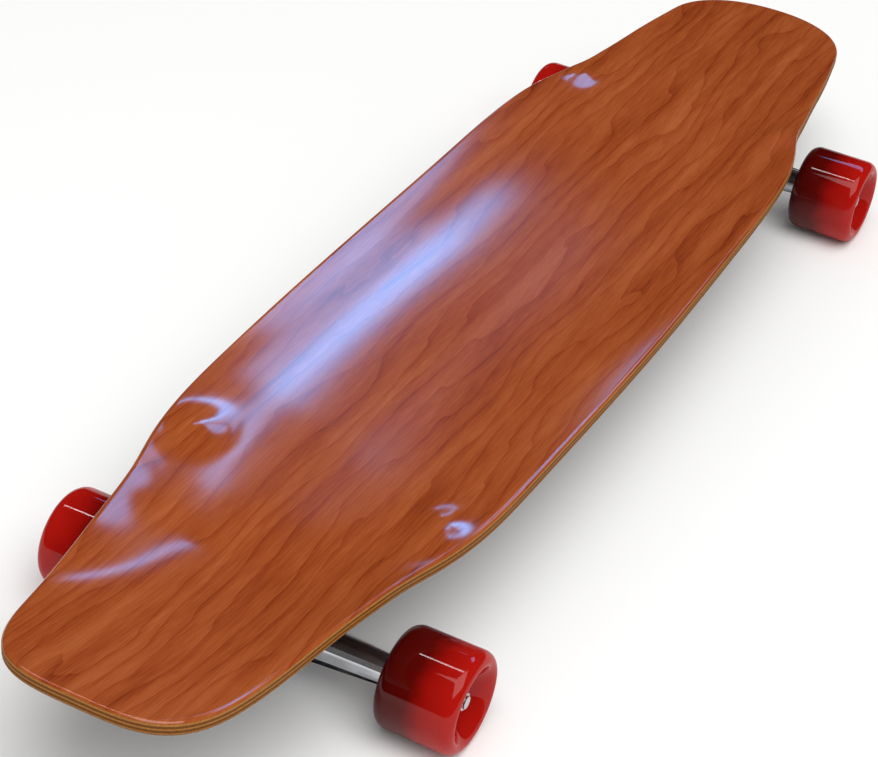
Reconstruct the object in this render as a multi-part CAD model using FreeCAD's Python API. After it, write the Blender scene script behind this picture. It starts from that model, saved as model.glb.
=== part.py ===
import FreeCAD, Part
import math
import os

# Longboard skateboard. Millimetres, X along the deck towards the nose, Y to the left, Z up from the ground.
# The origin is on the ground under the middle of the deck.

# Deck, seen from above
deck_width = 231.0
wheelbase = 672.0
tail_overhang = 194.0
nose_overhang = 149.0
tail_corner_length = 64.0
nose_corner_length = 58.0
end_taper_share = 0.15
tail_end_shares = (3.2, 3.7)
nose_end_shares = (2.5, 2.2)
end_points = 8
side_shares = [(-0.436, 0.626), (-0.383, 0.693), (-0.341, 0.753), (-0.309, 0.809), (-0.278, 0.884),
               (-0.246, 0.938), (-0.183, 0.974), (-0.077, 0.996), (0.029, 1.0), (0.123, 0.991),
               (0.217, 0.967), (0.274, 0.890), (0.302, 0.815), (0.330, 0.775), (0.358, 0.740),
               (0.396, 0.698), (0.443, 0.630)]

# Deck, seen from the side and the end
tail_rise = 27.0
kick_gap = 30.0
kick_curve_share = 1.4
rocker_depth = 7.0
concave_depth = 12.5
concave_curve_share = 2.55
concave_place_share = -0.07
concave_spread_shares = (0.36, 0.56)
dish_depth = 20.0
dish_place_share = -0.36
dish_spread_share = 0.062
dome_height = 3.0
dome_length = 19.0
dome_breadth = 14.0
dome_inboard = 58.0
dome_side = 85.0
grid_margin = 14.0
grid_columns = 71
grid_rows = 23

# Deck thickness and the rounding of its routed edge
deck_thickness = 10.5
top_edge_radius = 3.0
bottom_edge_radius = 2.4
truck_seat_clearance = 1.0

# Wheel
wheel_radius = 32.5
wheel_width = 52.0
wheel_track = 233.0
lip_width = 7.4
lip_depth = 6.0
lip_mouth_radius = 23.3
lip_mouth_depth = 3.0
recess_floor_radius = 13.0
recess_floor_gap = 1.0
bearing_land_width = 1.5

# Ball bearing, two in each wheel
bearing_outer_radius = 11.0
bearing_bore_radius = 4.0
bearing_width = 7.0
outer_ring_land_radius = 9.2
inner_ring_land_radius = 6.05
cage_clearance = 0.04
cage_width = 4.0
shield_thickness = 0.4
shield_recess = 0.3
shield_clearance = 0.3
spacer_length = 10.0
spacer_radius = 5.2
speed_washer_radius = 5.8
speed_washer_thickness = 0.8

# Axle and its nuts
axle_radius = 4.0
axle_end_length = 1.3
axle_nut_flats = 13.0
axle_nut_hex_height = 4.5
axle_nut_collar_radius = 5.6
axle_nut_collar_height = 2.0

# Steering geometry of a truck: the pivot axis rises outwards through the kingpin seat
truck_height = 54.0
steer_angle = 35.0
axle_setback = 29.0
axle_rake = 9.0
pivot_distance = 46.0

# Kingpin, its bushings, washers and nut, along the kingpin from the middle of the hanger's seat
kingpin_radius = 4.76
kingpin_head_radius = 8.0
kingpin_head_height = 5.5
kingpin_head_seat = 24.5
kingpin_end_length = 2.5
kingpin_nut_flats = 14.3
kingpin_nut_height = 8.0
bushing_radius = 12.5
road_bushing_end_radius = 10.5
board_bushing_height = 11.0
road_bushing_height = 10.0
bushing_bore_clearance = 0.3
cup_washer_radius = 13.2
cup_washer_thickness = 1.5

# Hanger
seat_radius = 18.5
seat_web = 8.0
seat_recess = 1.5
seat_recess_clearance = 0.35
kingpin_hole_clearance = 1.9
yoke_half_width = 48.0
yoke_shoulder_share = 0.92
yoke_inner_gap = 6.0
yoke_depth_below = 8.0
yoke_depth_above = 3.5
barrel_radius = 11.3
arm_shares = [(0.0, 1.0), (0.3, 1.0), (0.5, 0.93), (0.75, 0.84), (0.93, 0.76)]
arm_end_radius = 7.0
arm_end_bevel = 2.5
rib_thickness = 3.4
rib_start = 16.0
rib_proud = 3.6
rib_end_gap = 9.0
rib_end_proud = 0.9
pivot_post_radius = 9.0
pivot_ball_radius = 6.5
pivot_neck_length = 6.0
pivot_post_taper = 4.0

# Pivot cup
pivot_clearance = 0.06
pivot_cup_wall = 2.9
pivot_cup_floor = 2.6
pivot_cup_mouth = 3.0

# Baseplate
plate_thickness = 5.0
plate_half_width = 27.5
plate_inner_length = 52.0
plate_outer_length = 36.0
plate_corner_radius = 9.0
wedge_half_width = 14.5
housing_wall = 3.6
housing_floor = 3.4
tower_top_length = 46.0
web_reach = 34.0
head_hole_clearance = 0.6

# Mounting screws and the threaded inserts that they turn into
hole_spacing_length = 53.98
hole_spacing_width = 41.28
screw_radius = 2.5
screw_hole_clearance = 0.25
screw_head_radius = 4.4
screw_head_height = 3.6
screw_socket_flats = 4.0
screw_socket_depth = 2.2
screw_reach = 6.0
insert_radius = 4.0
insert_length = 7.0
insert_pocket_gap = 0.4

# Cuts run this far past the faces they open
overrun = 3.0

# Places worked out from the sizes above
deck_length = tail_overhang + wheelbase + nose_overhang
tail_x = -deck_length / 2
nose_x = deck_length / 2
half_width = deck_width / 2
rear_axle_x = tail_x + tail_overhang
front_axle_x = rear_axle_x + wheelbase
axle_height = wheel_radius
plate_top = axle_height + truck_height
deck_top = plate_top + deck_thickness
wheel_centre = wheel_track / 2
bearing_face = spacer_length / 2 + bearing_width
hanger_half_width = wheel_centre - bearing_face - speed_washer_thickness
axle_nut_height = axle_nut_hex_height + axle_nut_collar_height
axle_half_length = wheel_centre + bearing_face + speed_washer_thickness + axle_nut_height + axle_end_length
board_seat = seat_web / 2 + board_bushing_height + cup_washer_thickness
road_seat = seat_web / 2 + road_bushing_height + cup_washer_thickness
pivot_cup_radius = pivot_ball_radius + pivot_clearance + pivot_cup_wall
housing_radius = pivot_cup_radius + housing_wall
plate_middle = (plate_outer_length - plate_inner_length) / 2

along_x = FreeCAD.Vector(1, 0, 0)
along_y = FreeCAD.Vector(0, 1, 0)
along_z = FreeCAD.Vector(0, 0, 1)
origin = FreeCAD.Vector(0, 0, 0)
nodes = {}


def point(x, y, z):
    return FreeCAD.Vector(x, y, z)


def line_loop(points):
    """Closed face with straight sides through the points."""
    return Part.Face(Part.makePolygon(list(points) + [points[0]]))


def turned(points, axis):
    """Solid turned about an axis through the origin from a straight-sided section."""
    return line_loop(points).revolve(origin, axis, 360)


def tube(inner, outer, low, high):
    """Plain ring about Y, from low to high along it."""
    section = [point(inner, low, 0), point(outer, low, 0), point(outer, high, 0), point(inner, high, 0)]
    return turned(section, along_y)


def hexagon(flats, low, high):
    """Hexagonal prism about Z."""
    corner = flats / math.sqrt(3)
    turns = [k * math.pi / 3 for k in range(6)]
    ring = [point(corner * math.cos(turn), corner * math.sin(turn), low) for turn in turns]
    return line_loop(ring).extrude(along_z * (high - low))


# Deck outline: hand-chosen sides, with ends that round like a superellipse
def deck_side():
    """Points of the left edge, from the tail's tip to the nose's tip."""
    sides = [point(x * deck_length, y * half_width, 0) for x, y in side_shares]
    ends = []
    for tip, corner, length, shares in ((tail_x, sides[0], tail_corner_length, tail_end_shares),
                                        (nose_x, sides[-1], nose_corner_length, nose_end_shares)):
        outward = math.copysign(1, tip)
        root = tip - outward * length
        width = corner.y + end_taper_share * (abs(corner.x) - abs(root))
        arc = []
        for k in range(end_points + 1):
            turn = math.pi / 2 * k / end_points
            reach = math.sin(turn) ** (2 / shares[0])
            spread = math.cos(turn) ** (2 / shares[1]) if k < end_points else 0
            arc.append(point(root + outward * length * reach,
                             (width - end_taper_share * length * reach) * spread, 0))
        ends.append(arc)
    inside = [p for p in sides if ends[0][0].x < p.x < ends[1][0].x]
    return ends[0][::-1] + inside + ends[1]


def deck_prism(low, high):
    """Upright block with the deck's outline, one smooth closed curve."""
    left = deck_side()
    points = [point(p.x, p.y, low) for p in left] + [point(p.x, -p.y, low) for p in left[-2:0:-1]]
    curve = Part.BSplineCurve()
    curve.interpolate(Points=points, PeriodicFlag=True)
    return Part.Face(Part.Wire([curve.toShape()])).extrude(along_z * (high - low))


# Deck surface: hollow across and bowed down between the trucks, dished over the rear truck, domed by the
# wheels and kicked at the tail
dome_places = [(axle + toward_middle * dome_inboard, side * dome_side)
               for axle, toward_middle in ((rear_axle_x, 1), (front_axle_x, -1)) for side in (1, -1)]
kick_x = rear_axle_x - kick_gap
base_middle = (rear_axle_x + front_axle_x) / 2


def deck_surface_height(x, y):
    share = x / deck_length
    height = deck_top
    if x < kick_x:
        height += tail_rise * ((kick_x - x) / (kick_x - tail_x)) ** kick_curve_share
    if abs(x - base_middle) < wheelbase / 2:
        height -= rocker_depth * (1 + math.cos(2 * math.pi * (x - base_middle) / wheelbase)) / 2
    spread = concave_spread_shares[0 if share < concave_place_share else 1]
    hollow = concave_depth * math.exp(-((share - concave_place_share) / spread) ** 2)
    hollow += dish_depth * math.exp(-((share - dish_place_share) / dish_spread_share) ** 2)
    height += hollow * (abs(y) / half_width) ** concave_curve_share
    for dome_x, dome_y in dome_places:
        along, across = (x - dome_x) / dome_length, (y - dome_y) / dome_breadth
        height += dome_height * math.exp(-along ** 2 - across ** 2)
    return height


def deck_sheet():
    """Smooth face through a grid of heights, a little larger than the deck."""
    reach_x = deck_length / 2 + grid_margin
    reach_y = half_width + grid_margin
    columns = [reach_x * (2 * k / (grid_columns - 1) - 1) for k in range(grid_columns)]
    rows = [reach_y * (2 * k / (grid_rows - 1) - 1) for k in range(grid_rows)]
    surface = Part.BSplineSurface()
    surface.interpolate([[point(x, y, deck_surface_height(x, y)) for y in rows] for x in columns])
    return surface.toShape()


def truck_places():
    """Both trucks as (name, axle place, turn about Z), each with its outer side towards its own end."""
    return (("front", front_axle_x, 0), ("rear", rear_axle_x, 180))


def in_truck(shape, place, turn):
    """Copy of a shape from the truck's frame to its place under the deck."""
    copy = shape.copy()
    copy.rotate(origin, along_z, turn)
    copy.translate(point(place, 0, 0))
    return copy


def hole_places():
    return [(plate_middle + x * hole_spacing_length / 2, y * hole_spacing_width / 2)
            for x in (1, -1) for y in (1, -1)]


# Pressed deck of glued plies, routed to its outline, rounded over, milled flat where the baseplates sit
# and drilled for the inserts
def build_deck():
    low = deck_top - deck_thickness - rocker_depth - overrun
    high = deck_top + tail_rise + concave_depth + dish_depth + overrun
    slab = deck_sheet().extrude(along_z * -deck_thickness)
    body = deck_prism(low, high).common(slab).Solids[0]
    faces = sorted(body.Faces, key=lambda face: -face.Area)[:2]
    upper, lower = sorted(faces, key=lambda face: -face.CenterOfMass.z)
    body = body.makeFillet(top_edge_radius, upper.Edges)
    faces = sorted(body.Faces, key=lambda face: -face.Area)[:2]
    upper, lower = sorted(faces, key=lambda face: -face.CenterOfMass.z)
    body = body.makeFillet(bottom_edge_radius, lower.Edges)
    cuts = []
    seat_depth = rocker_depth + overrun
    seat = Part.makeBox(plate_inner_length + plate_outer_length + 2 * truck_seat_clearance,
                        2 * (plate_half_width + truck_seat_clearance), seat_depth,
                        point(-plate_inner_length - truck_seat_clearance,
                              -plate_half_width - truck_seat_clearance, plate_top - seat_depth))
    for name, place, turn in truck_places():
        cuts.append(in_truck(seat, place, turn))
        for x, y in hole_places():
            pocket = Part.makeCylinder(insert_radius, insert_length + insert_pocket_gap + overrun,
                                       point(x, y, plate_top - overrun))
            cuts.append(in_truck(pocket, place, turn))
    nodes["deck_plies"] = body.cut(cuts)


# Truck frame: outwards is +X, with the axle over the origin. The steering frame has its X up the pivot axis
# and its Z up the kingpin, with its origin in the middle of the hanger's seat.
steer_turn = FreeCAD.Rotation(along_y, -steer_angle)
seat_middle = point(0, 0, axle_height) - steer_turn.multVec(point(-axle_setback, 0, -axle_rake))
steer_frame = FreeCAD.Placement(seat_middle, steer_turn)


def steered(shape):
    """Copy of a shape from the steering frame to the truck's frame."""
    copy = shape.copy()
    copy.Placement = steer_frame.multiply(copy.Placement)
    return copy


def steer_place(along, up):
    """Place in the truck's middle plane of a point given in the steering frame."""
    return steer_frame.multVec(point(along, 0, up))


def build_baseplate():
    plate = Part.makeBox(plate_inner_length + plate_outer_length, 2 * plate_half_width, plate_thickness,
                         point(-plate_inner_length, -plate_half_width, plate_top - plate_thickness))
    plate = plate.makeFillet(plate_corner_radius, [edge for edge in plate.Edges
                                                   if edge.BoundBox.ZLength > plate_thickness / 2])
    under = plate_top - plate_thickness
    seat_slope = math.tan(math.radians(steer_angle))
    seat_front = steer_place(0, board_seat)
    front = point(seat_front.x + (under - seat_front.z) / seat_slope, 0, under)
    mouth = -pivot_distance + pivot_cup_mouth
    back = -pivot_distance - pivot_ball_radius - pivot_clearance - pivot_cup_floor - housing_floor
    outline = [front, steer_place(-web_reach, board_seat), steer_place(mouth, housing_radius),
               steer_place(mouth, 0), steer_place(back, 0), steer_place(back, housing_radius),
               point(-tower_top_length, 0, under), point(-tower_top_length, 0, plate_top),
               point(front.x, 0, plate_top)]
    wedge = line_loop(outline).extrude(along_y * 2 * wedge_half_width)
    wedge.translate(along_y * -wedge_half_width)
    housing = steered(Part.makeCylinder(housing_radius, mouth - back, point(back, 0, 0), along_x))
    boss = steered(Part.makeCylinder(cup_washer_radius, kingpin_head_seat - board_seat,
                                     point(0, 0, board_seat)))
    body = plate.fuse([wedge, housing, boss])
    socket_floor = back + housing_floor
    socket = Part.makeCylinder(pivot_cup_radius, mouth - socket_floor + overrun,
                               point(socket_floor, 0, 0), along_x)
    kingpin_hole = Part.makeCylinder(kingpin_radius, kingpin_head_seat + overrun,
                                     point(0, 0, board_seat - overrun))
    head_hole = Part.makeCylinder(kingpin_head_radius + head_hole_clearance, plate_half_width,
                                  point(0, 0, kingpin_head_seat))
    cuts = [steered(socket), steered(kingpin_hole), steered(head_hole)]
    cuts.append(Part.makeBox(2 * deck_width, 2 * deck_width, deck_width,
                             point(-deck_width, -deck_width, plate_top)))
    for x, y in hole_places():
        cuts.append(Part.makeCylinder(screw_radius + screw_hole_clearance, plate_thickness + 2 * overrun,
                                      point(x, y, under - overrun)))
    return body.cut(cuts).removeSplitter()


def build_pivot_cup():
    inner = pivot_ball_radius + pivot_clearance
    mouth = pivot_cup_mouth
    floor = -inner - pivot_cup_floor
    cup = Part.makeCylinder(pivot_cup_radius, mouth - floor, point(-pivot_distance + floor, 0, 0), along_x)
    hollow = Part.makeCylinder(inner, mouth + overrun, point(-pivot_distance, 0, 0), along_x)
    ball = Part.makeSphere(inner, point(-pivot_distance, 0, 0))
    return steered(cup.cut([hollow, ball]))


def build_kingpin():
    head_top = kingpin_head_seat + kingpin_head_height
    end = -road_seat - kingpin_nut_height - kingpin_end_length
    shank = Part.makeCylinder(kingpin_radius, kingpin_head_seat - end, point(0, 0, end))
    head = Part.makeCylinder(kingpin_head_radius, head_top - kingpin_head_seat,
                             point(0, 0, kingpin_head_seat))
    return steered(shank.fuse(head).removeSplitter())


def build_kingpin_nut():
    low = -road_seat - kingpin_nut_height
    nut = hexagon(kingpin_nut_flats, low, -road_seat)
    corner = kingpin_nut_flats / math.sqrt(3)
    bevel = Part.makeCone(corner - kingpin_nut_height / 8, corner + kingpin_nut_height, kingpin_nut_height,
                          point(0, 0, low))
    hole = Part.makeCylinder(kingpin_radius, kingpin_nut_height + 2 * overrun, point(0, 0, low - overrun))
    return steered(nut.common(bevel).cut(hole))


def build_cup_washers():
    bore = kingpin_radius + bushing_bore_clearance
    washers = []
    for low in (board_seat - cup_washer_thickness, -road_seat):
        disc = Part.makeCylinder(cup_washer_radius, cup_washer_thickness, point(0, 0, low))
        hole = Part.makeCylinder(bore, cup_washer_thickness + 2 * overrun, point(0, 0, low - overrun))
        washers.append(steered(disc.cut(hole)))
    return Part.makeCompound(washers)


def build_bushing(seat, height, end_radius):
    """Bushing about the kingpin, from the hanger's seat to its cup washer."""
    bore = kingpin_radius + bushing_bore_clearance
    away = math.copysign(1, height)
    section = [point(bore, 0, seat), point(bushing_radius, 0, seat),
               point(bushing_radius, 0, seat + height / 3), point(end_radius, 0, seat + height),
               point(bore, 0, seat + height)]
    return steered(turned(section[::int(away)], along_z))


def build_hanger():
    axle_line = point(-axle_setback, 0, -axle_rake)
    ring_height = seat_web + 2 * seat_recess
    ring = Part.makeCylinder(seat_radius, ring_height, point(0, 0, -ring_height / 2))
    shoulder = seat_radius * yoke_shoulder_share
    flank = -axle_setback + barrel_radius - yoke_inner_gap
    inner = -axle_setback - yoke_inner_gap
    outline = [(0, -shoulder), (0, shoulder), (flank, yoke_half_width), (inner, yoke_half_width),
               (inner, -yoke_half_width), (flank, -yoke_half_width)]
    yoke = line_loop([point(x, y, -yoke_depth_below) for x, y in outline])
    yoke = yoke.extrude(along_z * (yoke_depth_above + yoke_depth_below))
    # Arms taper from the barrel to the bearing shoulders
    side = [point(share * barrel_radius, place * hanger_half_width, 0) for place, share in arm_shares]
    curve = Part.BSplineCurve()
    curve.interpolate(side)
    start = point(0, 0, 0)
    end = point(0, hanger_half_width, 0)
    bevel = [point(arm_end_radius + arm_end_bevel / 2, hanger_half_width - arm_end_bevel, 0),
             point(arm_end_radius, hanger_half_width, 0)]
    edges = [Part.makeLine(start, side[0]), curve.toShape(), Part.makeLine(side[-1], bevel[0]),
             Part.makeLine(bevel[0], bevel[1]), Part.makeLine(bevel[1], end), Part.makeLine(end, start)]
    arm = Part.Face(Part.Wire(edges)).revolve(origin, along_y, 360)
    pieces = [ring, yoke]
    for turn in (0, 180):
        half = arm.copy()
        half.rotate(origin, along_z, turn)
        half.translate(axle_line)
        pieces.append(half)
    # Cast ribs along the outer and the road side of each arm
    rib_end = hanger_half_width - rib_end_gap
    rib_side = [point(0, rib_start, 0), point(barrel_radius + rib_proud, rib_start, 0),
                point(arm_shares[-1][1] * barrel_radius + rib_end_proud, rib_end, 0), point(0, rib_end, 0)]
    rib = line_loop(rib_side).extrude(along_z * rib_thickness)
    rib.translate(along_z * (-rib_thickness / 2))
    for lean in (0, 90):
        for turn in (0, 180):
            fin = rib.copy()
            fin.rotate(origin, along_x, turn)
            fin.rotate(origin, along_y, lean)
            fin.translate(axle_line)
            pieces.append(fin)
    # Pivot post with a ball end, in line with the pivot axis
    post_start = -axle_setback + barrel_radius / 2
    post = Part.makeCylinder(pivot_post_radius,
                             post_start + pivot_distance - pivot_neck_length - pivot_post_taper,
                             point(-pivot_distance + pivot_neck_length + pivot_post_taper, 0, 0), along_x)
    taper = Part.makeCone(pivot_ball_radius, pivot_post_radius, pivot_post_taper,
                          point(-pivot_distance + pivot_neck_length, 0, 0), along_x)
    neck = Part.makeCylinder(pivot_ball_radius, pivot_neck_length, point(-pivot_distance, 0, 0), along_x)
    ball = Part.makeSphere(pivot_ball_radius, point(-pivot_distance, 0, 0))
    body = pieces[0].fuse(pieces[1:] + [post, taper, neck, ball])
    cuts = [Part.makeCylinder(kingpin_radius + kingpin_hole_clearance, 2 * seat_radius,
                              point(0, 0, -seat_radius)),
            Part.makeCylinder(axle_radius, 2 * wheel_track, axle_line - along_y * wheel_track, along_y)]
    recess = bushing_radius + seat_recess_clearance
    cuts.append(Part.makeCylinder(recess, seat_recess + overrun, point(0, 0, seat_web / 2)))
    cuts.append(Part.makeCylinder(recess, seat_recess + overrun + yoke_depth_below,
                                  point(0, 0, -seat_web / 2 - seat_recess - overrun - yoke_depth_below)))
    return steered(body.cut(cuts).removeSplitter())


def build_axle():
    return Part.makeCylinder(axle_radius, 2 * axle_half_length,
                             point(0, -axle_half_length, axle_height), along_y)


def build_screws():
    screws = []
    under = plate_top - plate_thickness
    for x, y in hole_places():
        head = Part.makeCylinder(screw_head_radius, screw_head_height,
                                 point(x, y, under - screw_head_height))
        socket = hexagon(screw_socket_flats, -overrun, screw_socket_depth)
        socket.translate(point(x, y, under - screw_head_height))
        shank = Part.makeCylinder(screw_radius, plate_thickness + screw_reach, point(x, y, under))
        screws.append(head.cut(socket).fuse(shank).removeSplitter())
    return Part.makeCompound(screws)


def build_inserts():
    inserts = []
    for x, y in hole_places():
        sleeve = Part.makeCylinder(insert_radius, insert_length, point(x, y, plate_top + insert_pocket_gap))
        thread = Part.makeCylinder(screw_radius, insert_length + 2 * overrun,
                                   point(x, y, plate_top - overrun))
        inserts.append(sleeve.cut(thread))
    return Part.makeCompound(inserts)


# Wheel set, made about Y with the wheel's middle at the origin and the outer face towards +Y
def build_wheel():
    half = wheel_width / 2
    crest = wheel_radius - lip_depth
    mouth = half - lip_mouth_depth
    floor = bearing_face + recess_floor_gap
    bend = math.cos(math.pi / 4)
    tread = point(wheel_radius, half - lip_width, 0)
    lip = point(wheel_radius - lip_depth * (1 - bend), half - lip_width * (1 - bend), 0)
    top = point(crest, half, 0)
    inner = point(crest - (crest - lip_mouth_radius) * bend, half - lip_mouth_depth * (1 - bend), 0)
    corner = point(lip_mouth_radius, mouth, 0)
    foot = point(recess_floor_radius, floor, 0)
    step = point(bearing_outer_radius, floor, 0)
    seat = point(bearing_outer_radius, spacer_length / 2, 0)
    land = point(bearing_outer_radius - bearing_land_width, spacer_length / 2, 0)

    def mirrored(p):
        return point(p.x, -p.y, 0)

    edges = [Part.makeLine(mirrored(tread), tread), Part.Arc(tread, lip, top).toShape(),
             Part.Arc(top, inner, corner).toShape(), Part.makeLine(corner, foot), Part.makeLine(foot, step),
             Part.makeLine(step, seat), Part.makeLine(seat, land), Part.makeLine(land, mirrored(land)),
             Part.makeLine(mirrored(land), mirrored(seat)), Part.makeLine(mirrored(seat), mirrored(step)),
             Part.makeLine(mirrored(step), mirrored(foot)), Part.makeLine(mirrored(foot), mirrored(corner)),
             Part.Arc(mirrored(corner), mirrored(inner), mirrored(top)).toShape(),
             Part.Arc(mirrored(top), mirrored(lip), mirrored(tread)).toShape()]
    return Part.Face(Part.Wire(edges)).revolve(origin, along_y, 360)


def bearing_middles():
    middle = (spacer_length + bearing_width) / 2
    return (middle, -middle)


def bearing_tubes(inner, outer, width):
    """The same ring in both bearings of a wheel."""
    return Part.makeCompound([tube(inner, outer, middle - width / 2, middle + width / 2)
                              for middle in bearing_middles()])


def build_outer_rings():
    return bearing_tubes(outer_ring_land_radius, bearing_outer_radius, bearing_width)


def build_inner_rings():
    return bearing_tubes(bearing_bore_radius, inner_ring_land_radius, bearing_width)


def build_ball_cages():
    return bearing_tubes(inner_ring_land_radius + cage_clearance, outer_ring_land_radius, cage_width)


def build_shields():
    """One shield on the outward face of each bearing, snapped into its outer ring."""
    shields = []
    for outward in (1, -1):
        face = outward * (bearing_face - shield_recess)
        low, high = sorted((face, face - outward * shield_thickness))
        shields.append(tube(inner_ring_land_radius + shield_clearance, outer_ring_land_radius, low, high))
    return Part.makeCompound(shields)


def build_spacer():
    return tube(axle_radius, spacer_radius, -spacer_length / 2, spacer_length / 2)


def build_speed_washers():
    return Part.makeCompound([tube(axle_radius, speed_washer_radius, low, low + speed_washer_thickness)
                              for low in (bearing_face, -bearing_face - speed_washer_thickness)])


def build_axle_nut():
    low = bearing_face + speed_washer_thickness
    nut = hexagon(axle_nut_flats, 0, axle_nut_hex_height)
    corner = axle_nut_flats / math.sqrt(3)
    bevel = Part.makeCone(corner + axle_nut_hex_height, corner - axle_nut_collar_height / 3,
                          axle_nut_hex_height)
    collar = Part.makeCylinder(axle_nut_collar_radius, axle_nut_collar_height,
                               point(0, 0, axle_nut_hex_height))
    hole = Part.makeCylinder(axle_radius, axle_nut_height + 2 * overrun, point(0, 0, -overrun))
    nut = nut.common(bevel).fuse(collar).cut(hole).removeSplitter()
    nut.rotate(origin, along_x, -90)
    nut.translate(along_y * low)
    return nut


wheel_set = {"wheel": build_wheel, "bearing_outer_rings": build_outer_rings,
             "bearing_shields": build_shields, "bearing_ball_cages": build_ball_cages,
             "bearing_inner_rings": build_inner_rings, "bearing_spacer": build_spacer,
             "speed_washers": build_speed_washers, "axle_nut": build_axle_nut}
truck_set = {"baseplate": build_baseplate, "pivot_cup": build_pivot_cup, "kingpin": build_kingpin,
             "kingpin_nut": build_kingpin_nut, "cup_washers": build_cup_washers, "hanger": build_hanger,
             "axle": build_axle, "mounting_screws": build_screws, "threaded_inserts": build_inserts}

build_deck()

for piece, build in truck_set.items():
    shape = build()
    for truck, place, turn in truck_places():
        nodes[truck + "_" + piece] = in_truck(shape, place, turn)

bushings = {"board_bushing": build_bushing(seat_web / 2, board_bushing_height, bushing_radius),
            "road_bushing": build_bushing(-seat_web / 2, -road_bushing_height, road_bushing_end_radius)}
for piece, shape in bushings.items():
    for truck, place, turn in truck_places():
        nodes[truck + "_" + piece] = in_truck(shape, place, turn)

for piece, build in wheel_set.items():
    shape = build()
    for truck, axle_x in (("front", front_axle_x), ("rear", rear_axle_x)):
        for side, outward in (("left", 1), ("right", -1)):
            copy = shape.copy()
            copy.rotate(origin, along_z, 0 if outward > 0 else 180)
            copy.translate(point(axle_x, outward * wheel_centre, axle_height))
            nodes[truck + "_" + side + "_" + piece] = copy

os.makedirs("parts", exist_ok=True)
for name, shape in nodes.items():
    shape.exportStep("parts/" + name + ".step")
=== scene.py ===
import math

import bmesh
import bpy
import numpy as np
from mathutils import Matrix, Vector


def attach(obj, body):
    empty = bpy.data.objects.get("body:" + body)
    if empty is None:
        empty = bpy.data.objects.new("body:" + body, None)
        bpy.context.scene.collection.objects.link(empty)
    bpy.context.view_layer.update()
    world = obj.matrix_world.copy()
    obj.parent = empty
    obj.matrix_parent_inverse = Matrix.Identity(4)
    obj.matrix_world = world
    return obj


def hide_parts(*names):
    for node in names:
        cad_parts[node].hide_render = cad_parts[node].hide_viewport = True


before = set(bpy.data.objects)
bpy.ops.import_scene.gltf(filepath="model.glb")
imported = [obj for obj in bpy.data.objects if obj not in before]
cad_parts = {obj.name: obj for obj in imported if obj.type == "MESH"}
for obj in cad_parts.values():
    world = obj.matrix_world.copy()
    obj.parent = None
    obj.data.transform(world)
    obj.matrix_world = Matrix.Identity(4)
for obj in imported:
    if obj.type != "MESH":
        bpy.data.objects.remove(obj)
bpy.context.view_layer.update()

# Core of the deck: hardwood plies glued crosswise and lengthwise in a press, then routed to the outline.
# Its bare edge shows the plies as light and dark lines, and it is rounded over above and below.
# Sizes are in millimetres, and shares are of the deck's length or of half its width.
MM = 0.001
deck_length, half_width = 1015.0, 115.5
deck_top = 97.0
tail_x, nose_x = -deck_length / 2, deck_length / 2
rear_axle_x, front_axle_x = -313.5, 358.5
side_shares = [(-0.436, 0.626), (-0.383, 0.693), (-0.341, 0.753), (-0.309, 0.809), (-0.278, 0.884),
               (-0.246, 0.938), (-0.183, 0.974), (-0.077, 0.996), (0.029, 1.0), (0.123, 0.991),
               (0.217, 0.967), (0.274, 0.890), (0.302, 0.815), (0.330, 0.775), (0.358, 0.740),
               (0.396, 0.698), (0.443, 0.630)]
tail_corner_length, nose_corner_length = 64.0, 58.0
tail_end_shares, nose_end_shares = (3.2, 3.7), (2.5, 2.2)
end_taper_share = 0.15
end_steps, outline_samples, outline_steps = 8, 4000, 240
tail_rise, kick_gap, kick_curve_share = 27.0, 30.0, 1.4
rocker_depth, wheelbase = 7.0, front_axle_x - rear_axle_x
concave_depth, concave_curve_share, concave_place_share = 12.5, 2.55, -0.07
concave_spread_shares = (0.36, 0.56)
dish_depth, dish_place_share, dish_spread_share = 20.0, -0.36, 0.062
dome_height, dome_length, dome_breadth, dome_inboard, dome_side = 3.0, 19.0, 14.0, 58.0, 85.0
grid_margin, grid_columns, grid_rows = 14.0, 71, 23
veneer_thickness, deck_thickness = 1.5, 10.5
top_round, bottom_round = 3.0, 2.4
edge_insets = (0.0, 0.25, 0.6, 1.2, 2.2, 4.0, 7.0)
edge_step, fewest_edge_steps, edge_smooth_angle = 0.3, 4, 60
spine_share, ring_steps = 0.86, 34
weld_gap, sliver_gap = 1e-6, 1e-7


def spline_weights(knots, places, closed=False):
    """Rows of weights that read a smooth cubic spline through values at the knots, at each place."""
    count = len(knots) - 1 if closed else len(knots)
    steps = np.diff(knots)
    bend = np.zeros((count, count)) if closed else np.eye(count)
    rise = np.zeros((count, count))
    for k in range(count) if closed else range(1, count - 1):
        before, after = (k - 1) % count, (k + 1) % count
        h0, h1 = steps[(k - 1) % len(steps)], steps[k]
        bend[k, before] += h0
        bend[k, k] = 2 * (h0 + h1)
        bend[k, after] += h1
        rise[k, before] += 6 / h0
        rise[k, k] -= 6 / h0 + 6 / h1
        rise[k, after] += 6 / h1
    second = np.linalg.solve(bend, rise)
    span = np.clip(np.searchsorted(knots, places, "right") - 1, 0, len(steps) - 1)
    h = steps[span]
    b = (places - np.asarray(knots)[span]) / h
    a = 1 - b
    left, right = span % count, (span + 1) % count
    weights = ((a ** 3 - a) * h * h / 6)[:, None] * second[left]
    weights += ((b ** 3 - b) * h * h / 6)[:, None] * second[right]
    weights[np.arange(len(places)), left] += a
    weights[np.arange(len(places)), right] += b
    return weights


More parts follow.
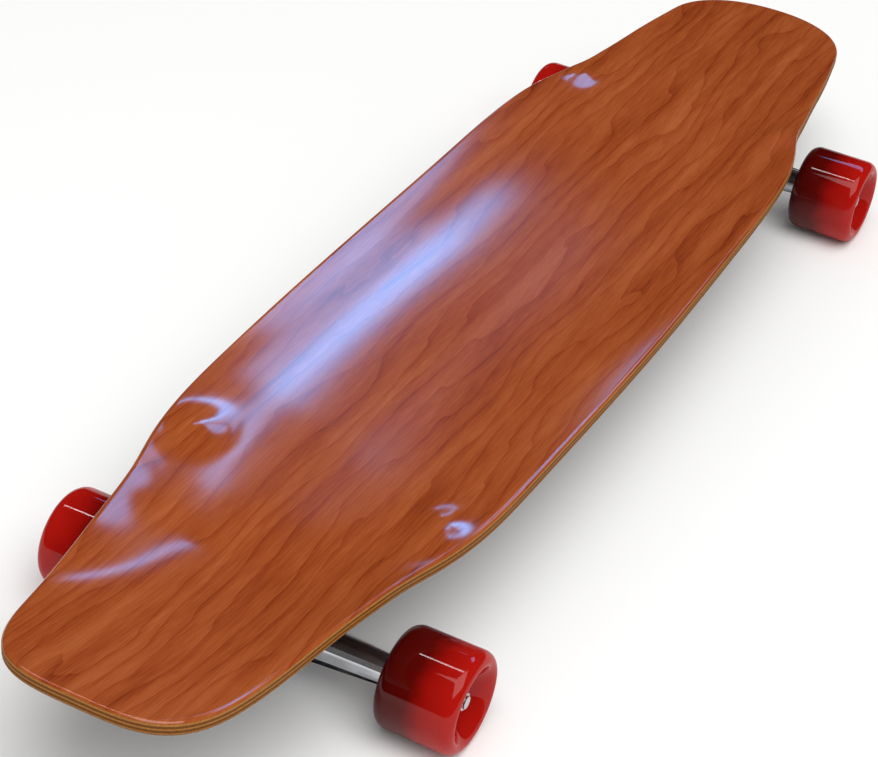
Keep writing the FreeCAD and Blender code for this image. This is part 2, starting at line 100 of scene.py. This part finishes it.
def deck_outline():
    """Points of the outline in millimetres, left side then right, with the outward direction at each."""
    sides = [(x * deck_length, y * half_width) for x, y in side_shares]
    arcs = []
    for tip, corner, length, shares in ((tail_x, sides[0], tail_corner_length, tail_end_shares),
                                        (nose_x, sides[-1], nose_corner_length, nose_end_shares)):
        outward = math.copysign(1, tip)
        root = tip - outward * length
        width = corner[1] + end_taper_share * (abs(corner[0]) - abs(root))
        arc = []
        for k in range(end_steps + 1):
            turn = math.pi / 2 * k / end_steps
            reach = math.sin(turn) ** (2 / shares[0])
            spread = math.cos(turn) ** (2 / shares[1]) if k < end_steps else 0
            arc.append((root + outward * length * reach, (width - end_taper_share * length * reach) * spread))
        arcs.append(arc)
    inside = [p for p in sides if arcs[0][0][0] < p[0] < arcs[1][0][0]]
    left = arcs[0][::-1] + inside + arcs[1]
    stations = np.array(left + [(x, -y) for x, y in left[-2:0:-1]])
    lengths = np.linalg.norm(np.roll(stations, -1, 0) - stations, axis=1)
    knots = np.concatenate([[0], np.cumsum(lengths)])
    half = knots[len(left) - 1]
    fine = np.linspace(0, half, outline_samples + 1)
    line = spline_weights(knots, fine, True) @ stations
    run = np.concatenate([[0], np.cumsum(np.linalg.norm(np.diff(line, axis=0), axis=1))])
    places = np.interp(np.linspace(0, run[-1], outline_steps + 1), run, fine)
    side = spline_weights(knots, places, True) @ stations
    side[0, 1] = side[-1, 1] = 0
    loop = np.vstack([side, (side * (1, -1))[-2:0:-1]])
    ahead = np.roll(loop, -1, 0) - np.roll(loop, 1, 0)
    outward = np.stack([-ahead[:, 1], ahead[:, 0]], 1)
    return loop, outward / np.linalg.norm(outward, axis=1)[:, None]


def height_grid():
    """Heights of the pressed face: hollow, bowed between the trucks, dished, domed and kicked."""
    xs = np.linspace(-1, 1, grid_columns) * (deck_length / 2 + grid_margin)
    ys = np.linspace(-1, 1, grid_rows) * (half_width + grid_margin)
    x, y = np.meshgrid(xs, ys, indexing="ij")
    share = x / deck_length
    kick_x = rear_axle_x - kick_gap
    heights = deck_top + tail_rise * (np.maximum(kick_x - x, 0) / (kick_x - tail_x)) ** kick_curve_share
    turn = np.clip((x - (rear_axle_x + front_axle_x) / 2) / wheelbase * 2, -1, 1) * math.pi
    heights -= rocker_depth * (1 + np.cos(turn)) / 2
    spread = np.where(share < concave_place_share, *concave_spread_shares)
    hollow = concave_depth * np.exp(-((share - concave_place_share) / spread) ** 2)
    hollow += dish_depth * np.exp(-((share - dish_place_share) / dish_spread_share) ** 2)
    heights += hollow * (abs(y) / half_width) ** concave_curve_share
    for dome_x in (rear_axle_x + dome_inboard, front_axle_x - dome_inboard):
        for dome_y in (dome_side, -dome_side):
            away = ((x - dome_x) / dome_length) ** 2 + ((y - dome_y) / dome_breadth) ** 2
            heights += dome_height * np.exp(-away)
    return xs, ys, heights


outline, outward = deck_outline()
grid_xs, grid_ys, grid_heights = height_grid()


def surface_heights(places):
    """Height of the pressed face at each place, read from one smooth spline surface."""
    across = spline_weights(grid_ys, places[:, 1])
    along = spline_weights(grid_xs, places[:, 0])
    return np.einsum("nk,kl,nl->n", along, grid_heights, across)


def round_inset(depth):
    """How far the routed edge stands in from the outline at a depth under the top face."""
    low = bottom_round - (deck_thickness - depth)
    over = max(top_round - depth, low, 0)
    radius = top_round if depth < deck_thickness / 2 else bottom_round
    return radius - math.sqrt(max(radius * radius - over * over, 0))


def deck_rings(depth):
    """Rings of the face at a depth, from the edge in to the middle line."""
    start = round_inset(depth)
    rings = [outline - outward * (start + inset) for inset in edge_insets]
    middle = outline * (spine_share, 0)
    for k in range(1, ring_steps + 1):
        rings.append(rings[len(edge_insets) - 1] * (1 - k / ring_steps) + middle * (k / ring_steps))
    return [np.column_stack([ring, surface_heights(ring) - depth]) for ring in rings]


def new_piece(name, points, faces, smooth_angle):
    """A closed piece from its points in metres, smooth except where it turns by more than the angle."""
    mesh = bpy.data.meshes.new(name)
    mesh.from_pydata([tuple(p) for p in points], [], faces)
    work = bmesh.new()
    work.from_mesh(mesh)
    bmesh.ops.remove_doubles(work, verts=work.verts, dist=weld_gap)
    bmesh.ops.dissolve_degenerate(work, edges=work.edges, dist=sliver_gap)
    bmesh.ops.recalc_face_normals(work, faces=work.faces)
    work.to_mesh(mesh)
    work.free()
    mesh.shade_smooth()
    mesh.set_sharp_from_angle(angle=math.radians(smooth_angle))
    piece = bpy.data.objects.new(name, mesh)
    bpy.context.scene.collection.objects.link(piece)
    return piece


def deck_layer(name, top, bottom):
    """Closed layer of the deck between two depths, with the depth of every point kept for its material."""
    edge_steps = max(int((bottom - top) / edge_step), fewest_edge_steps)
    edge = []
    for depth in np.linspace(top, bottom, edge_steps + 1)[1:-1]:
        ring = outline - outward * round_inset(depth)
        edge.append(np.column_stack([ring, surface_heights(ring) - depth]))
    rings = deck_rings(top)[::-1] + edge + deck_rings(bottom)
    count = len(outline)
    faces = []
    for k in range(len(rings) - 1):
        for i in range(count):
            j = (i + 1) % count
            faces.append((k * count + i, k * count + j, (k + 1) * count + j, (k + 1) * count + i))
    piece = new_piece(name, np.vstack(rings) * MM, faces, edge_smooth_angle)
    places = np.empty(len(piece.data.vertices) * 3)
    piece.data.vertices.foreach_get("co", places)
    places = places.reshape(-1, 3) / MM
    depths = surface_heights(places[:, :2]) - places[:, 2]
    piece.data.attributes.new("ply_depth", "FLOAT", "POINT").data.foreach_set("value", depths)
    return piece


def linear(code):
    """An sRGB hex colour as linear red, green, blue and alpha."""
    values = [int(code[k:k + 2], 16) / 255 for k in (0, 2, 4)]
    return [v / 12.92 if v <= 0.04045 else ((v + 0.055) / 1.055) ** 2.4 for v in values] + [1.0]


def feed(material, node, inputs):
    """Sets each input of a node, or links it where another node's output is given for it."""
    for key, value in inputs.items():
        if isinstance(value, bpy.types.NodeSocket):
            material.node_tree.links.new(value, node.inputs[key])
        else:
            node.inputs[key].default_value = value


def new_material(name, sockets):
    """A material named for what the piece is made of, with its constant values set on the shader."""
    material = bpy.data.materials.new(name)
    material.use_nodes = True
    shader = material.node_tree.nodes["Principled BSDF"]
    feed(material, shader, sockets)
    return material, shader


def add_node(material, kind, settings, inputs):
    """Adds one node with its settings, among them a ramp's rows of place and hex colour, and its links."""
    node = material.node_tree.nodes.new(kind)
    for key, value in settings.items():
        if key != "stops":
            setattr(node, key, value)
            continue
        while len(node.color_ramp.elements) < len(value):
            node.color_ramp.elements.new(0.5)
        for element, (position, code) in zip(node.color_ramp.elements, value):
            element.position = position
            element.color = linear(code)
    feed(material, node, inputs)
    return node


# Birch and maple plies, sawn and sanded bare: pale long-grain plies between darker end-grain ones, with
# thin glue lines. Sanding leaves it dull, and its pores show as short dark flecks. Real pores are a tenth
# of this width and too fine to show, so the flecks are drawn coarser.
fleck_size = 1.1
ply_core, shader = new_material("birch_plywood_edge_sanded", {
    "Roughness": 0.52, "Specular IOR Level": 0.0, "Coat Weight": 0.12, "Coat Roughness": 0.25})
depth = add_node(ply_core, "ShaderNodeAttribute", {"attribute_name": "ply_depth"}, {})
layers = add_node(ply_core, "ShaderNodeMapRange", {}, {
    "Value": depth.outputs["Fac"], "From Min": 0.0, "From Max": deck_thickness})
bands = add_node(ply_core, "ShaderNodeValToRGB", {"stops": [
    (0.140, "4C2810"), (0.160, "9E6A34"), (0.275, "A67139"), (0.288, "5C3416"), (0.300, "744620"),
    (0.420, "6E421C"), (0.432, "502C10"), (0.446, "A26D36"), (0.560, "9C6832"), (0.574, "502C10"),
    (0.590, "72451E"), (0.705, "6E421C"), (0.716, "5C3416"), (0.730, "A06B34"), (0.850, "966230"),
    (0.870, "4C2810")]}, {"Fac": layers.outputs[0]})
place = add_node(ply_core, "ShaderNodeTexCoord", {}, {})
flecks = add_node(ply_core, "ShaderNodeTexNoise", {}, {
    "Vector": place.outputs["Object"], "Scale": 1 / (fleck_size * MM), "Detail": 3.0})
fleck_tone = add_node(ply_core, "ShaderNodeMapRange", {}, {
    "Value": flecks.outputs[0], "From Min": 0.35, "From Max": 0.65, "To Min": 0.78, "To Max": 1.08})
# A colour mix has its share at input 0, its two colours at 6 and 7, and its result at output 2.
edge_colour = add_node(ply_core, "ShaderNodeMix", {"data_type": "RGBA", "blend_type": "MULTIPLY"}, {
    0: 1.0, 6: bands.outputs[0], 7: fleck_tone.outputs[0]})
feed(ply_core, shader, {"Base Color": edge_colour.outputs[2]})

core = deck_layer("deck_core_plies", veneer_thickness, deck_thickness - veneer_thickness)
core.data.materials.append(ply_core)
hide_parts("deck_plies")
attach(core, "deck")

# Face veneers of the deck: flat-sawn cherry, stained red-brown above, and glued to the core in the same
# press.
# The underside veneer is drawn dark brown, near black, so the hangers mirror it dark. The whole board is
# sprayed with clear lacquer. Grain sizes are in millimetres: cherry's own pores are a tenth as wide as these
# fibres and too fine to show, so the fibres are drawn coarser.
ring_spacing, figure_length, figure_width, figure_swing = 13.0, 190.0, 42.0, 5.0
fibre_length, fibre_width = 24.0, 0.9
patch_length, patch_width = 200.0, 16.0
ring_sharpness, ring_tone, ring_lift = 4.0, -0.13, 0.01
fibre_tone, patch_tone = 0.52, 0.58
sheet_stagger = 1 / 7
top_gloss, bottom_gloss = 0.105, 0.22
top_cut, bottom_cut = 0.0, 0.37
top_stain = [(0.28, "6C270D"), (0.42, "8A3B18"), (0.55, "9B4B22"), (0.72, "AE5F33")]
# Colours of the underside veneer: dark brown, near black, so the hangers mirror it dark.
bottom_dark_tones = [(0.28, "1E0F08"), (0.42, "2B160B"), (0.55, "371D10"), (0.72, "452716")]


def lacquered_veneer(name, gloss_roughness, cut, veneer_colours):
    """Cherry under clear lacquer. The eye sees wavy growth rings, each with one dark edge, short fine fibres
    and broad light patches, all under a clear mirror-like coat. The cut is where in the log a sheet lies."""
    veneer, shader = new_material(name, {"Roughness": 0.45, "Specular IOR Level": 0.0, "Coat Weight": 1.0,
                                         "Coat Roughness": gloss_roughness, "Coat IOR": 1.52})
    place = add_node(veneer, "ShaderNodeTexCoord", {}, {})
    sheet = add_node(veneer, "ShaderNodeVectorMath", {"operation": "ADD"}, {
        0: place.outputs["Object"], 1: (cut, cut * sheet_stagger, 0.0)})
    parts = add_node(veneer, "ShaderNodeSeparateXYZ", {}, {0: sheet.outputs[0]})
    figure_place = add_node(veneer, "ShaderNodeMapping", {}, {
        "Vector": sheet.outputs[0], "Scale": (1 / (figure_length * MM), 1 / (figure_width * MM), 0.0)})
    figure = add_node(veneer, "ShaderNodeTexNoise", {}, {
        "Vector": figure_place.outputs[0], "Scale": 1.0, "Detail": 3.0, "Roughness": 0.42})
    swing = add_node(veneer, "ShaderNodeMath", {"operation": "MULTIPLY"}, {
        0: figure.outputs[0], 1: figure_swing})
    rings = add_node(veneer, "ShaderNodeMath", {"operation": "MULTIPLY_ADD"}, {
        0: parts.outputs[1], 1: 1 / (ring_spacing * MM), 2: swing.outputs[0]})
    growth = add_node(veneer, "ShaderNodeMath", {"operation": "FRACT"}, {0: rings.outputs[0]})
    ring_edges = add_node(veneer, "ShaderNodeMath", {"operation": "POWER"}, {
        0: growth.outputs[0], 1: ring_sharpness})
    fibre_place = add_node(veneer, "ShaderNodeMapping", {}, {
        "Vector": sheet.outputs[0], "Scale": (1 / (fibre_length * MM), 1 / (fibre_width * MM), 0.0)})
    fibres = add_node(veneer, "ShaderNodeTexNoise", {}, {
        "Vector": fibre_place.outputs[0], "Scale": 1.0, "Detail": 4.0, "Roughness": 0.7})
    patch_place = add_node(veneer, "ShaderNodeMapping", {}, {
        "Vector": sheet.outputs[0], "Scale": (1 / (patch_length * MM), 1 / (patch_width * MM), 0.0)})
    patches = add_node(veneer, "ShaderNodeTexNoise", {}, {
        "Vector": patch_place.outputs[0], "Scale": 1.0, "Detail": 5.0, "Roughness": 0.55})
    ring_part = add_node(veneer, "ShaderNodeMath", {"operation": "MULTIPLY_ADD"}, {
        0: ring_edges.outputs[0], 1: ring_tone, 2: ring_lift})
    fibre_part = add_node(veneer, "ShaderNodeMath", {"operation": "MULTIPLY_ADD"}, {
        0: fibres.outputs[0], 1: fibre_tone, 2: ring_part.outputs[0]})
    tone = add_node(veneer, "ShaderNodeMath", {"operation": "MULTIPLY_ADD"}, {
        0: patches.outputs[0], 1: patch_tone, 2: fibre_part.outputs[0]})
    colour = add_node(veneer, "ShaderNodeValToRGB", {"stops": veneer_colours}, {"Fac": tone.outputs[0]})
    feed(veneer, shader, {"Base Color": colour.outputs[0]})
    return veneer


top_face = deck_layer("deck_top_veneer", 0.0, veneer_thickness)
top_face.data.materials.append(lacquered_veneer("cherry_veneer_lacquered_top", top_gloss, top_cut, top_stain))
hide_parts("deck_plies")
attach(top_face, "deck")

# Underside veneer, drawn dark brown, near black, so the hangers mirror it dark.
bottom_face = deck_layer("deck_bottom_veneer", deck_thickness - veneer_thickness, deck_thickness)
bottom_face.data.materials.append(
    lacquered_veneer("cherry_veneer_dark_underside", bottom_gloss, bottom_cut, bottom_dark_tones))
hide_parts("deck_plies")
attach(bottom_face, "deck")

# Threaded inserts and mounting screws: turned brass sleeves pressed into the core from below, and socket-head
# steel screws, blackened in a hot bath, that run up through each baseplate into them.
ends = ("front", "rear")
corners = [end + "_" + side for end in ends for side in ("left", "right")]
mark_low, mark_high = 0.3, 0.7
mark_depth = 0.4


def finish_nodes(material, *names):
    """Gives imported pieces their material."""
    for name in names:
        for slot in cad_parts[name].material_slots:
            slot.material = material


def marked_finish(name, light, dark, mark_size, gloss_low, gloss_high, sockets):
    """A hard surface whose tone and gloss vary a little, as its making and handling leave it.
    Its widest marks have the size given in millimetres, and six finer rounds of them lie on these."""
    finish, shader = new_material(name, sockets)
    place = add_node(finish, "ShaderNodeTexCoord", {}, {})
    marks = add_node(finish, "ShaderNodeTexNoise", {}, {
        "Vector": place.outputs["Object"], "Scale": 1 / (mark_size * MM), "Detail": 6.0, "Roughness": 0.62})
    colour = add_node(finish, "ShaderNodeValToRGB", {"stops": [(mark_low, dark), (mark_high, light)]}, {
        "Fac": marks.outputs[0]})
    gloss = add_node(finish, "ShaderNodeMapRange", {}, {
        "Value": marks.outputs[0], "From Min": mark_low, "From Max": mark_high,
        "To Min": gloss_low, "To Max": gloss_high})
    bump = add_node(finish, "ShaderNodeBump", {}, {
        "Strength": 0.06, "Distance": mark_depth * MM, "Height": marks.outputs[0]})
    feed(finish, shader, {"Base Color": colour.outputs[0], "Roughness": gloss.outputs[0],
                          "Normal": bump.outputs[0]})
    return finish


# Turned brass is warm yellow and softly glossy. The tool's own lines are too fine to show and are drawn as
# coarser marks.
brass = marked_finish("brass_turned", "C9A45A", "A27F3C", 4.0, 0.25, 0.40, {"Metallic": 1.0})
finish_nodes(brass, *[end + "_threaded_inserts" for end in ends])
# Black oxide is a thin dark skin: near black, half glossy, and a little uneven where it was handled.
blackened = marked_finish("steel_black_oxide", "2A2A2B", "151516", 2.5, 0.30, 0.48, {"Metallic": 0.85})
finish_nodes(blackened, *[end + "_mounting_screws" for end in ends])

# Baseplates: gravity-cast aluminium, tumbled with stones and left bare, one screwed under each end of the
# deck. Tumbling leaves the casting's skin grey and satin, with small dents about a millimetre wide.
cast = marked_finish("aluminium_cast_tumbled", "B4B6B9", "8E9094", 1.1, 0.34, 0.50, {"Metallic": 1.0})
finish_nodes(cast, *[end + "_baseplate" for end in ends])

# Pivot cups: moulded nylon liners pushed into the baseplates, in which the hangers' ball ends turn.
# Black nylon from an etched mould is dull and finely grained. The grain is drawn coarser, so that it shows.
grit_size = 0.7
nylon, shader = new_material("nylon_moulded_black", {"Roughness": 0.5})
place = add_node(nylon, "ShaderNodeTexCoord", {}, {})
grit = add_node(nylon, "ShaderNodeTexNoise", {}, {
    "Vector": place.outputs["Object"], "Scale": 1 / (grit_size * MM), "Detail": 3.0})
tone = add_node(nylon, "ShaderNodeValToRGB", {"stops": [(0.35, "101011"), (0.7, "232324")]}, {
    "Fac": grit.outputs[0]})
feed(nylon, shader, {"Base Color": tone.outputs[0]})
finish_nodes(nylon, *[end + "_pivot_cup" for end in ends])

# Kingpins with their nuts and cup washers: forged steel pins, pressed washers and locking nuts, blackened as
# the mounting screws are. Each pin clamps two bushings to its hanger, and its nut sets how tight they sit.
finish_nodes(blackened, *[end + piece for end in ends
                          for piece in ("_kingpin", "_kingpin_nut", "_cup_washers")])

# Bushings: cast urethane doughnuts, two on each kingpin, that squeeze as the board leans.
# The mould leaves black urethane half glossy, and a pale bloom comes out on it in soft clouds.
bloom_size = 8.0
urethane_black, shader = new_material("urethane_cast_black", {"Roughness": 0.34, "Specular IOR Level": 0.5})
place = add_node(urethane_black, "ShaderNodeTexCoord", {}, {})
bloom = add_node(urethane_black, "ShaderNodeTexNoise", {}, {
    "Vector": place.outputs["Object"], "Scale": 1 / (bloom_size * MM), "Detail": 5.0})
tone = add_node(urethane_black, "ShaderNodeValToRGB", {"stops": [(0.3, "0E0E0F"), (0.75, "1F1F21")]}, {
    "Fac": bloom.outputs[0]})
feed(urethane_black, shader, {"Base Color": tone.outputs[0]})
finish_nodes(urethane_black, *[end + piece for end in ends for piece in ("_board_bushing", "_road_bushing")])

# Hangers: cast aluminium arms with ribs that carry the axles, held by the kingpin and the pivot cup.
# They are polished on a wheel, which leaves a bright mirror with slow waves where the buff went over.
polished = marked_finish("aluminium_cast_polished", "D2D4D8", "AFB1B6", 16.0, 0.06, 0.16, {"Metallic": 1.0})
finish_nodes(polished, *[end + "_hanger" for end in ends])

# Axles, their nuts and the speed washers: turned and thread-rolled steel, the axles pressed through the
# hangers. Zinc plating makes them bright and faintly clouded.
plated = marked_finish("steel_zinc_plated", "D4D6D8", "A5A8AC", 5.5, 0.10, 0.24, {"Metallic": 1.0})
finish_nodes(plated, *[end + "_axle" for end in ends])
finish_nodes(plated, *[corner + piece for corner in corners for piece in ("_axle_nut", "_speed_washers")])

# Bearings: hardened steel rings with a ball cage between them, dark shields snapped into the outer rings, and
# an aluminium spacer between the two of each wheel. They are pushed into the wheel's seats.
# Ground steel is bright and grey. Its grinding lines are too fine to show and are drawn as coarser marks.
ground = marked_finish("bearing_steel_ground", "B9BBBE", "94969A", 1.4, 0.12, 0.26, {"Metallic": 1.0})
finish_nodes(ground, *[corner + piece for corner in corners
                       for piece in ("_bearing_outer_rings", "_bearing_ball_cages", "_bearing_inner_rings")])
# Moulded rubber is near black and half dull, with a fine skin.
shield = marked_finish("bearing_shield_rubber_moulded", "1D1D20", "0F0F11", 1.1, 0.30, 0.46, {})
finish_nodes(shield, *[corner + "_bearing_shields" for corner in corners])
finish_nodes(cast, *[corner + "_bearing_spacer" for corner in corners])

# Wheels: clear red urethane poured into a mould and turned true, with broad rounded lips and a bowl-shaped
# recess on both faces that ends at the bearing seats.
wheel_radius, wheel_half_width, wheel_centre_y = 32.5, 26.0, 116.5
lip_width, lip_depth = 7.4, 6.0
bowl_bends = ((22.0, 26.0), (17.5, 15.5))
recess_floor, recess_floor_radius = 13.0, 13.0
seat_radius, seat_shoulder, land_radius = 11.0, 5.0, 9.5
lip_steps, wheel_steps, wheel_smooth_angle = 10, 120, 35


def wheel_profile():
    """Radius and distance from the middle, from the tread over the lip and down the bowl to the land."""
    crest = wheel_radius - lip_depth
    profile = []
    for k in range(lip_steps + 1):
        turn = math.pi / 2 * k / lip_steps
        profile.append((crest + lip_depth * math.cos(turn),
                        wheel_half_width - lip_width * (1 - math.sin(turn))))
    bowl = np.array([(crest, wheel_half_width), *bowl_bends, (recess_floor_radius, recess_floor)])
    for k in range(1, lip_steps + 1):
        t = k / lip_steps
        weights = np.array([(1 - t) ** 3, 3 * t * (1 - t) ** 2, 3 * t * t * (1 - t), t ** 3])
        profile.append(tuple(weights @ bowl))
    return profile + [(seat_radius, recess_floor), (seat_radius, seat_shoulder), (land_radius, seat_shoulder)]


# Urethane is clear red all through. Its base colour holds painted shade and painted glow: darker on the thick
# inner half and brighter towards the outer lip. The mould leaves it glossy, and the pour leaves slow clouds
# in it.
cloud_size, cloud_share = 22.0, 0.3
urethane_red, shader = new_material("urethane_cast_red_translucent_painted_glow", {
    "Roughness": 0.4, "Specular IOR Level": 0.0, "Coat Weight": 0.5, "Coat Roughness": 0.04,
    "Subsurface Weight": 0.3, "Subsurface Radius": (1.0, 0.08, 0.05), "Subsurface Scale": 0.006})
place = add_node(urethane_red, "ShaderNodeTexCoord", {}, {})
parts = add_node(urethane_red, "ShaderNodeSeparateXYZ", {}, {0: place.outputs["Object"]})
reach = add_node(urethane_red, "ShaderNodeMath", {"operation": "ABSOLUTE"}, {0: parts.outputs[1]})
# Share across the wheel from its inner face to its outer face: painted shade inside, painted glow at the lip.
painted_glow_share = add_node(urethane_red, "ShaderNodeMapRange", {}, {
    "Value": reach.outputs[0], "From Min": (wheel_centre_y - wheel_half_width) * MM,
    "From Max": (wheel_centre_y + wheel_half_width) * MM})
clouds = add_node(urethane_red, "ShaderNodeTexNoise", {}, {
    "Vector": place.outputs["Object"], "Scale": 1 / (cloud_size * MM), "Detail": 3.0})
share = add_node(urethane_red, "ShaderNodeMath", {"operation": "MULTIPLY_ADD"}, {
    0: clouds.outputs[0], 1: cloud_share, 2: painted_glow_share.outputs[0]})
# Dark to bright red: painted shade on the inner half and painted glow on the outer lip, mixed with the pour's
# clouds.
tone = add_node(urethane_red, "ShaderNodeValToRGB", {"stops": [
    (0.15, "3C0603"), (0.55, "560805"), (0.78, "940F0A"), (1.0, "A5150E")]}, {"Fac": share.outputs[0]})
feed(urethane_red, shader, {"Base Color": tone.outputs[0]})

half_profile = wheel_profile()
profile = [(r, -along) for r, along in half_profile[::-1]] + half_profile
for corner in corners:
    axle_x = front_axle_x if corner.startswith("front") else rear_axle_x
    middle_y = wheel_centre_y if corner.endswith("left") else -wheel_centre_y
    points, faces = [], []
    for r, along in profile:
        for k in range(wheel_steps):
            turn = 2 * math.pi * k / wheel_steps
            points.append(((axle_x + r * math.cos(turn)) * MM, (middle_y + along) * MM,
                           (wheel_radius + r * math.sin(turn)) * MM))
    for row in range(len(profile)):
        after = (row + 1) % len(profile)
        for k in range(wheel_steps):
            j = (k + 1) % wheel_steps
            faces.append((row * wheel_steps + k, row * wheel_steps + j, after * wheel_steps + j,
                          after * wheel_steps + k))
    wheel = new_piece(corner + "_wheel_cast", points, faces, wheel_smooth_angle)
    wheel.data.materials.append(urethane_red)
    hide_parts(corner + "_wheel")
    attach(wheel, corner + "_wheel_set")

# Studio: a pale plain paper floor, one large soft panel overhead, and cool windows that the lacquer mirrors.
# The windows give reflections only and the air round them gives none, so the floor stays neutral.
floor_size, air_strength = 60.0, 0.50
floor_white, air_white, lamp_white, window_blue = "FAFAF9", "FAFAFA", "FFFFFF", "61B3FF"
panel_target = Vector((0.1, 0.0, 0.1))
bpy.ops.mesh.primitive_plane_add(size=floor_size, location=(0.0, 0.0, 0.0))
floor = bpy.context.object
floor.name = "studio_floor"
# Matt paper is even and white, with no gloss at all.
paper = new_material("studio_paper", {
    "Base Color": linear(floor_white), "Roughness": 1.0, "Specular IOR Level": 0.0})[0]
floor.data.materials.append(paper)

world = bpy.data.worlds.new("studio_air")
bpy.context.scene.world = world
world.use_nodes = True
world.node_tree.nodes["Background"].inputs["Color"].default_value = linear(air_white)
world.node_tree.nodes["Background"].inputs["Strength"].default_value = air_strength
world.cycles_visibility.glossy = False
bpy.context.scene.view_settings.view_transform = "Standard"


def soft_panel(name, distance, bearing, height, lean, length, breadth, power, code):
    """A soft light panel that faces the deck from a bearing and a height, turned in its own plane by the
    lean. Distance, length and breadth are in metres, the angles in degrees and the power in watts."""
    lamp = bpy.data.lights.new(name, "AREA")
    lamp.shape = "RECTANGLE"
    lamp.size, lamp.size_y = length, breadth
    lamp.energy = power
    lamp.color = linear(code)[:3]
    panel = bpy.data.objects.new(name, lamp)
    bpy.context.scene.collection.objects.link(panel)
    bearing, height, lean = math.radians(bearing), math.radians(height), math.radians(lean)
    away = Vector((math.cos(bearing) * math.cos(height), math.sin(bearing) * math.cos(height),
                   math.sin(height)))
    level = Vector((-math.sin(bearing), math.cos(bearing), 0.0))
    upward = away.cross(level)
    sideways = level * math.cos(lean) + upward * math.sin(lean)
    panel.matrix_world = Matrix.Translation(panel_target + away * distance) @ Matrix(
        (sideways, away.cross(sideways), away)).transposed().to_4x4()
    panel.visible_camera = False
    return panel


soft_panel("overhead_panel", 4.3, -133.0, 64.0, 0.0, 4.0, 4.0, 168.0, lamp_white)
for mirrored in (soft_panel("window_broad", 2.479, -1.9, 45.2, 63.8, 0.484, 1.066, 12.2, window_blue),
                 soft_panel("window_bar", 1.131, 28.8, 43.4, -43.6, 0.044, 0.402, 0.58, window_blue),
                 soft_panel("window_low", 1.010, 26.2, 43.4, 42.0, 0.223, 0.137, 0.65, window_blue),
                 soft_panel("window_side", 2.000, 34.0, 20.0, 0.0, 0.260, 0.120, 0.40, window_blue),
                 soft_panel("strip_lamp", 2.000, 89.0, 71.0, 0.0, 0.100, 1.600, 10.0, lamp_white)):
    mirrored.visible_diffuse = False

# Camera at the photograph's place, looking down along the board from beside its tail.
# It has the photograph's angles, distance and lens, with the small shift of the framing.
azimuth, elevation, roll = math.radians(-65.964), math.radians(37.225), math.radians(-5.917)
target = Vector((-0.1378, -0.0291, 0.0557))
distance = 1.5003
back = Vector((math.sin(azimuth) * math.cos(elevation), -math.cos(azimuth) * math.cos(elevation),
               math.sin(elevation)))
level = (-back).cross(Vector((0, 0, 1))).normalized()
down = (-back).cross(level)
image_right = level * math.cos(roll) + down * math.sin(roll)
image_down = down * math.cos(roll) - level * math.sin(roll)
lens = bpy.data.cameras.new("photo_camera")
lens.sensor_width = 36.0
lens.lens = 96.12
lens.shift_x, lens.shift_y = -0.0079, 0.0847
lens.clip_end = 100.0
camera = bpy.data.objects.new("photo_camera", lens)
bpy.context.scene.collection.objects.link(camera)
camera.matrix_world = Matrix.Translation(target + back * distance) @ Matrix(
    (image_right, -image_down, back)).transposed().to_4x4()
bpy.context.scene.camera = camera
